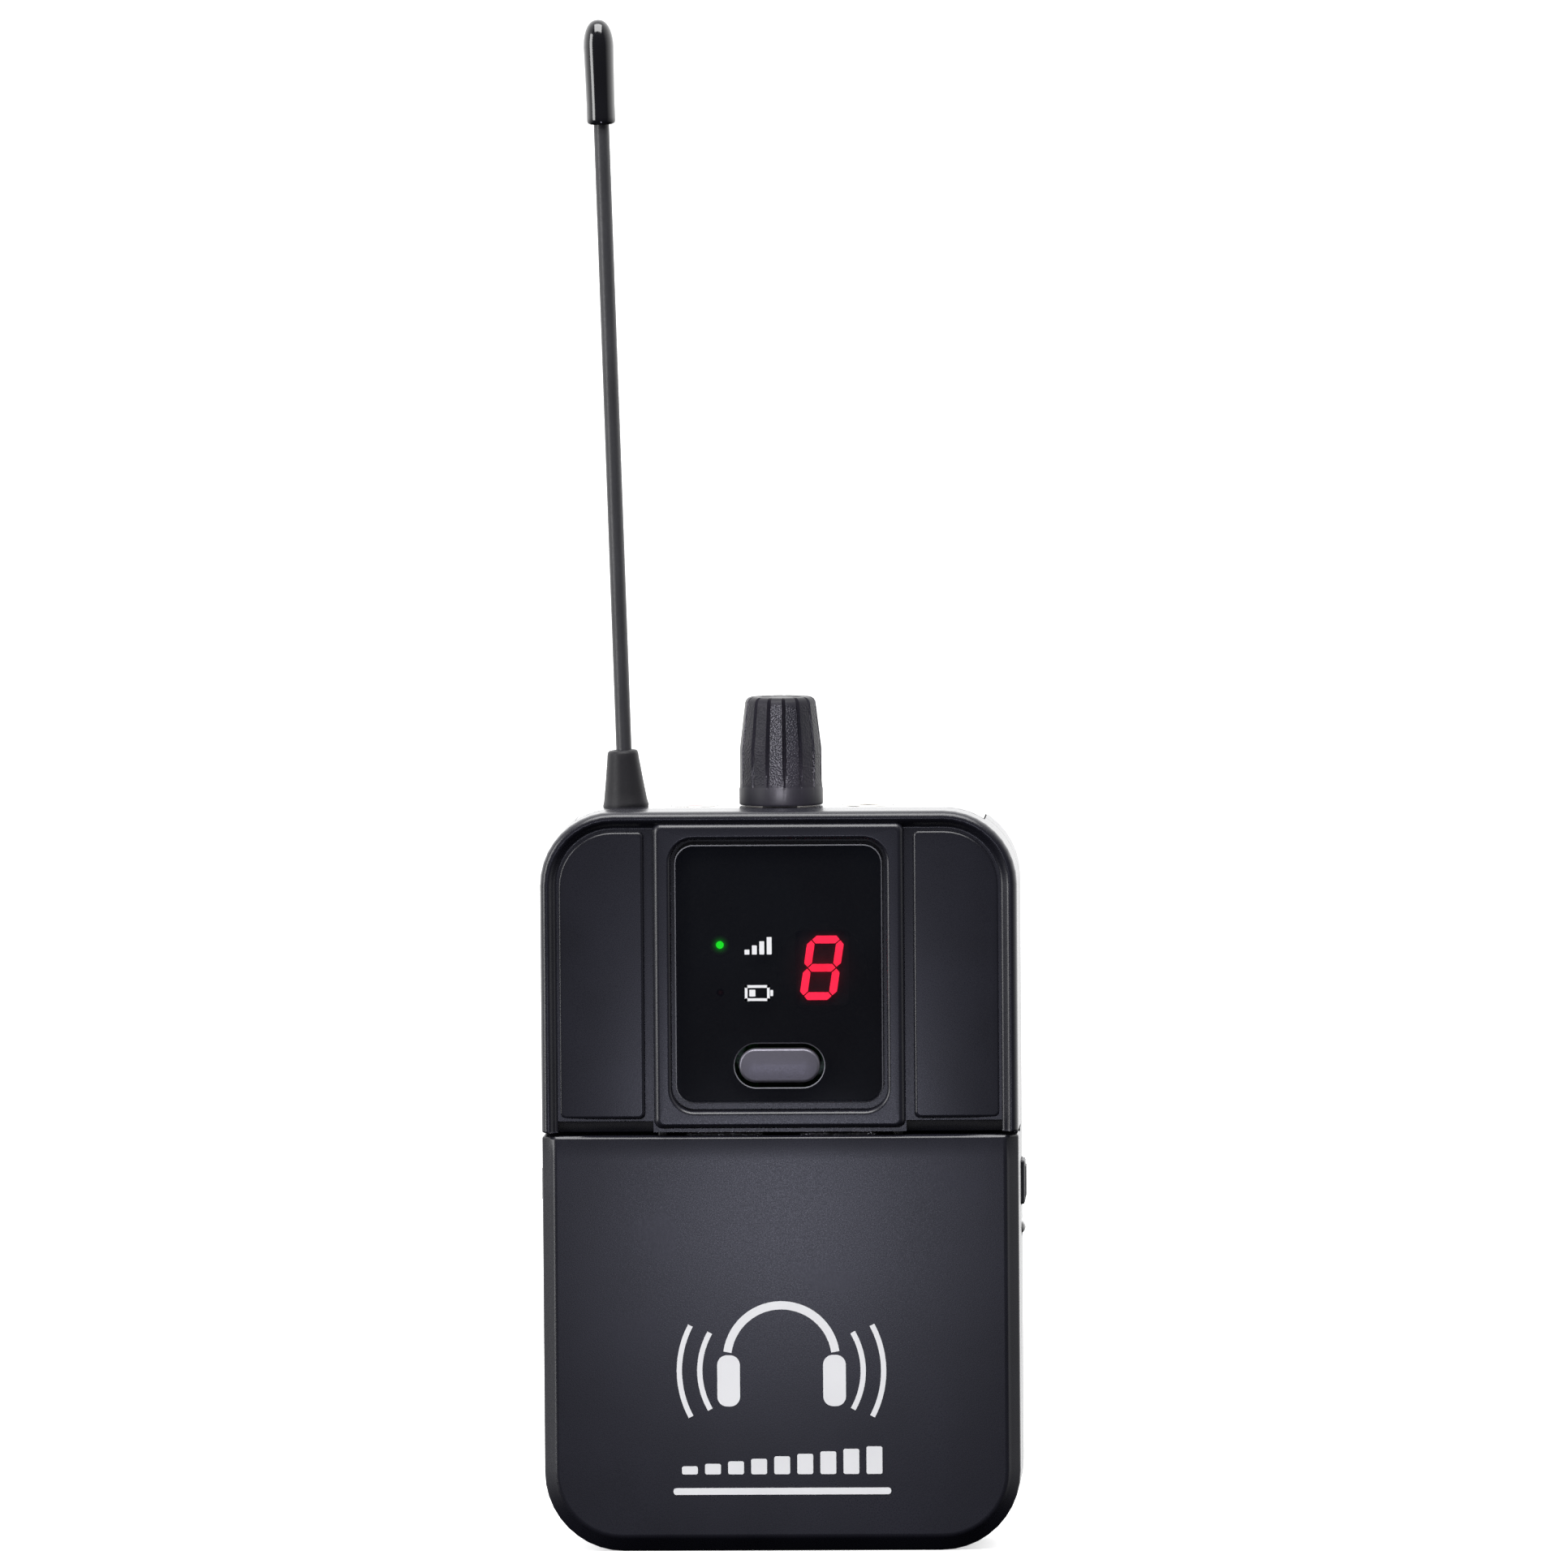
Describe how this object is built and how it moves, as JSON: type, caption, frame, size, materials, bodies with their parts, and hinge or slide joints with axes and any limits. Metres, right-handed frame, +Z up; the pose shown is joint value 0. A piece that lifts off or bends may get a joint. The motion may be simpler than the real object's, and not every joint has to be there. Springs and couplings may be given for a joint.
{
  "type": "wireless bodypack receiver",
  "caption": "Slim upright bodypack receiver with a whip antenna, volume knob, phones jack, display window, select button, hinged battery door and wire belt clip.",
  "frame": {"origin": "centre of the flat base", "axes": "+Z up along the pack towards the antenna, the display faces -Y, +X is the viewer's right from the front"},
  "size_m": [0.064, 0.0309, 0.2023],
  "materials": {
    "front_shell_paint": "satin black paint on cast aluminium",
    "rear_shell_paint": "satin black paint on cast aluminium",
    "door_paint": "satin black paint on cast aluminium",
    "top_plastic": "matte",
    "window_glass": "glossy dark tint",
    "button_plastic": "fine grain",
    "knob_rubber": "matte, textured ribs",
    "boot_rubber": "matte",
    "whip_rubber": "satin sleeve",
    "tip_plastic": "glossy",
    "gasket_rubber": "matte",
    "spring_steel": "bright",
    "nickel": "nickel plated",
    "ferrule_brass": "plated",
    "lens_plastic": "clear red",
    "led_red": "lit",
    "led_green": "lit",
    "led_dark": "unlit",
    "inner_plastic": "moulded",
    "board_green": "solder mask",
    "shield_tin": "tinned",
    "cell_jacket": "foil jacket",
    "latch_plastic": "fine grain",
    "clip_wire": "black coated",
    "screw_black": "black oxide",
    "screw_zinc": "zinc"
  },
  "bodies": {
    "case": {"rear_shell": "rear_shell_paint", "front_shell": "front_shell_paint", "top_panel": "top_plastic", "door_hinge_pins": "spring_steel", "display_window": "window_glass", "window_gasket": "gasket_rubber", "tact_switch": "inner_plastic", "pot_body": "shield_tin", "pot_nut": "nickel", "antenna_ferrule": "ferrule_brass", "antenna_boot": "boot_rubber", "antenna_whip": "whip_rubber", "antenna_tip": "tip_plastic", "indicator_ring": "nickel", "indicator_lens": "lens_plastic", "indicator_led": "inner_plastic", "jack_ring": "nickel", "jack_body": "inner_plastic", "jack_terminals": "ferrule_brass", "main_board": "board_green", "display_board": "board_green", "board_link": "inner_plastic", "digit_housing": "inner_plastic", "digit_segments": "led_red", "rf_led": "led_green", "low_battery_led": "led_dark", "rf_shield": "shield_tin", "processor_chip": "inner_plastic", "battery_bay": "inner_plastic", "bay_screws": "screw_zinc", "battery_contacts": "nickel", "battery_springs": "spring_steel", "aa_cell_left": "cell_jacket", "aa_cell_right": "cell_jacket", "latch_springs": "spring_steel", "case_screws": "screw_black", "board_screws": "screw_zinc", "belt_clip_legs": "clip_wire"},
    "door": {"battery_door": "door_paint"},
    "button": {"select_button": "button_plastic"},
    "knob": {"volume_knob": "knob_rubber", "pot_shaft": "nickel"},
    "left_latch": {"latch_left": "latch_plastic"},
    "right_latch": {"latch_right": "latch_plastic"},
    "clip_tongue": {"belt_clip_tongue": "clip_wire"}
  },
  "joints": [
    {"name": "door_hinge", "type": "hinge", "parent": "case", "child": "door", "pos_m": [0, -0.0089, 0.0021], "axis": [1, 0, 0], "range_deg": [0, 90]},
    {"name": "button_press", "type": "slide", "parent": "case", "child": "button", "axis": [0, 1, 0], "range_m": [0, 0.0005], "stiffness_N_per_m": 2500, "springref_m": -0.0002},
    {"name": "knob_turn", "type": "hinge", "parent": "case", "child": "knob", "pos_m": [0, 0.0025, 0.098], "axis": [0, 0, 1], "range_deg": [-150, 150]},
    {"name": "left_latch_press", "type": "slide", "parent": "case", "child": "left_latch", "axis": [1, 0, 0], "range_m": [0, 0.001], "stiffness_N_per_m": 1500, "springref_m": -0.001},
    {"name": "right_latch_press", "type": "slide", "parent": "case", "child": "right_latch", "axis": [-1, 0, 0], "range_m": [0, 0.001], "stiffness_N_per_m": 1500, "springref_m": -0.001},
    {"name": "clip_spring", "type": "hinge", "parent": "case", "child": "clip_tongue", "pos_m": [0, 0.0122, 0.0843], "axis": [1, 0, 0], "range_deg": [0, 14], "stiffness_Nm_per_rad": 0.6, "springref_deg": -5.73}
  ]
}
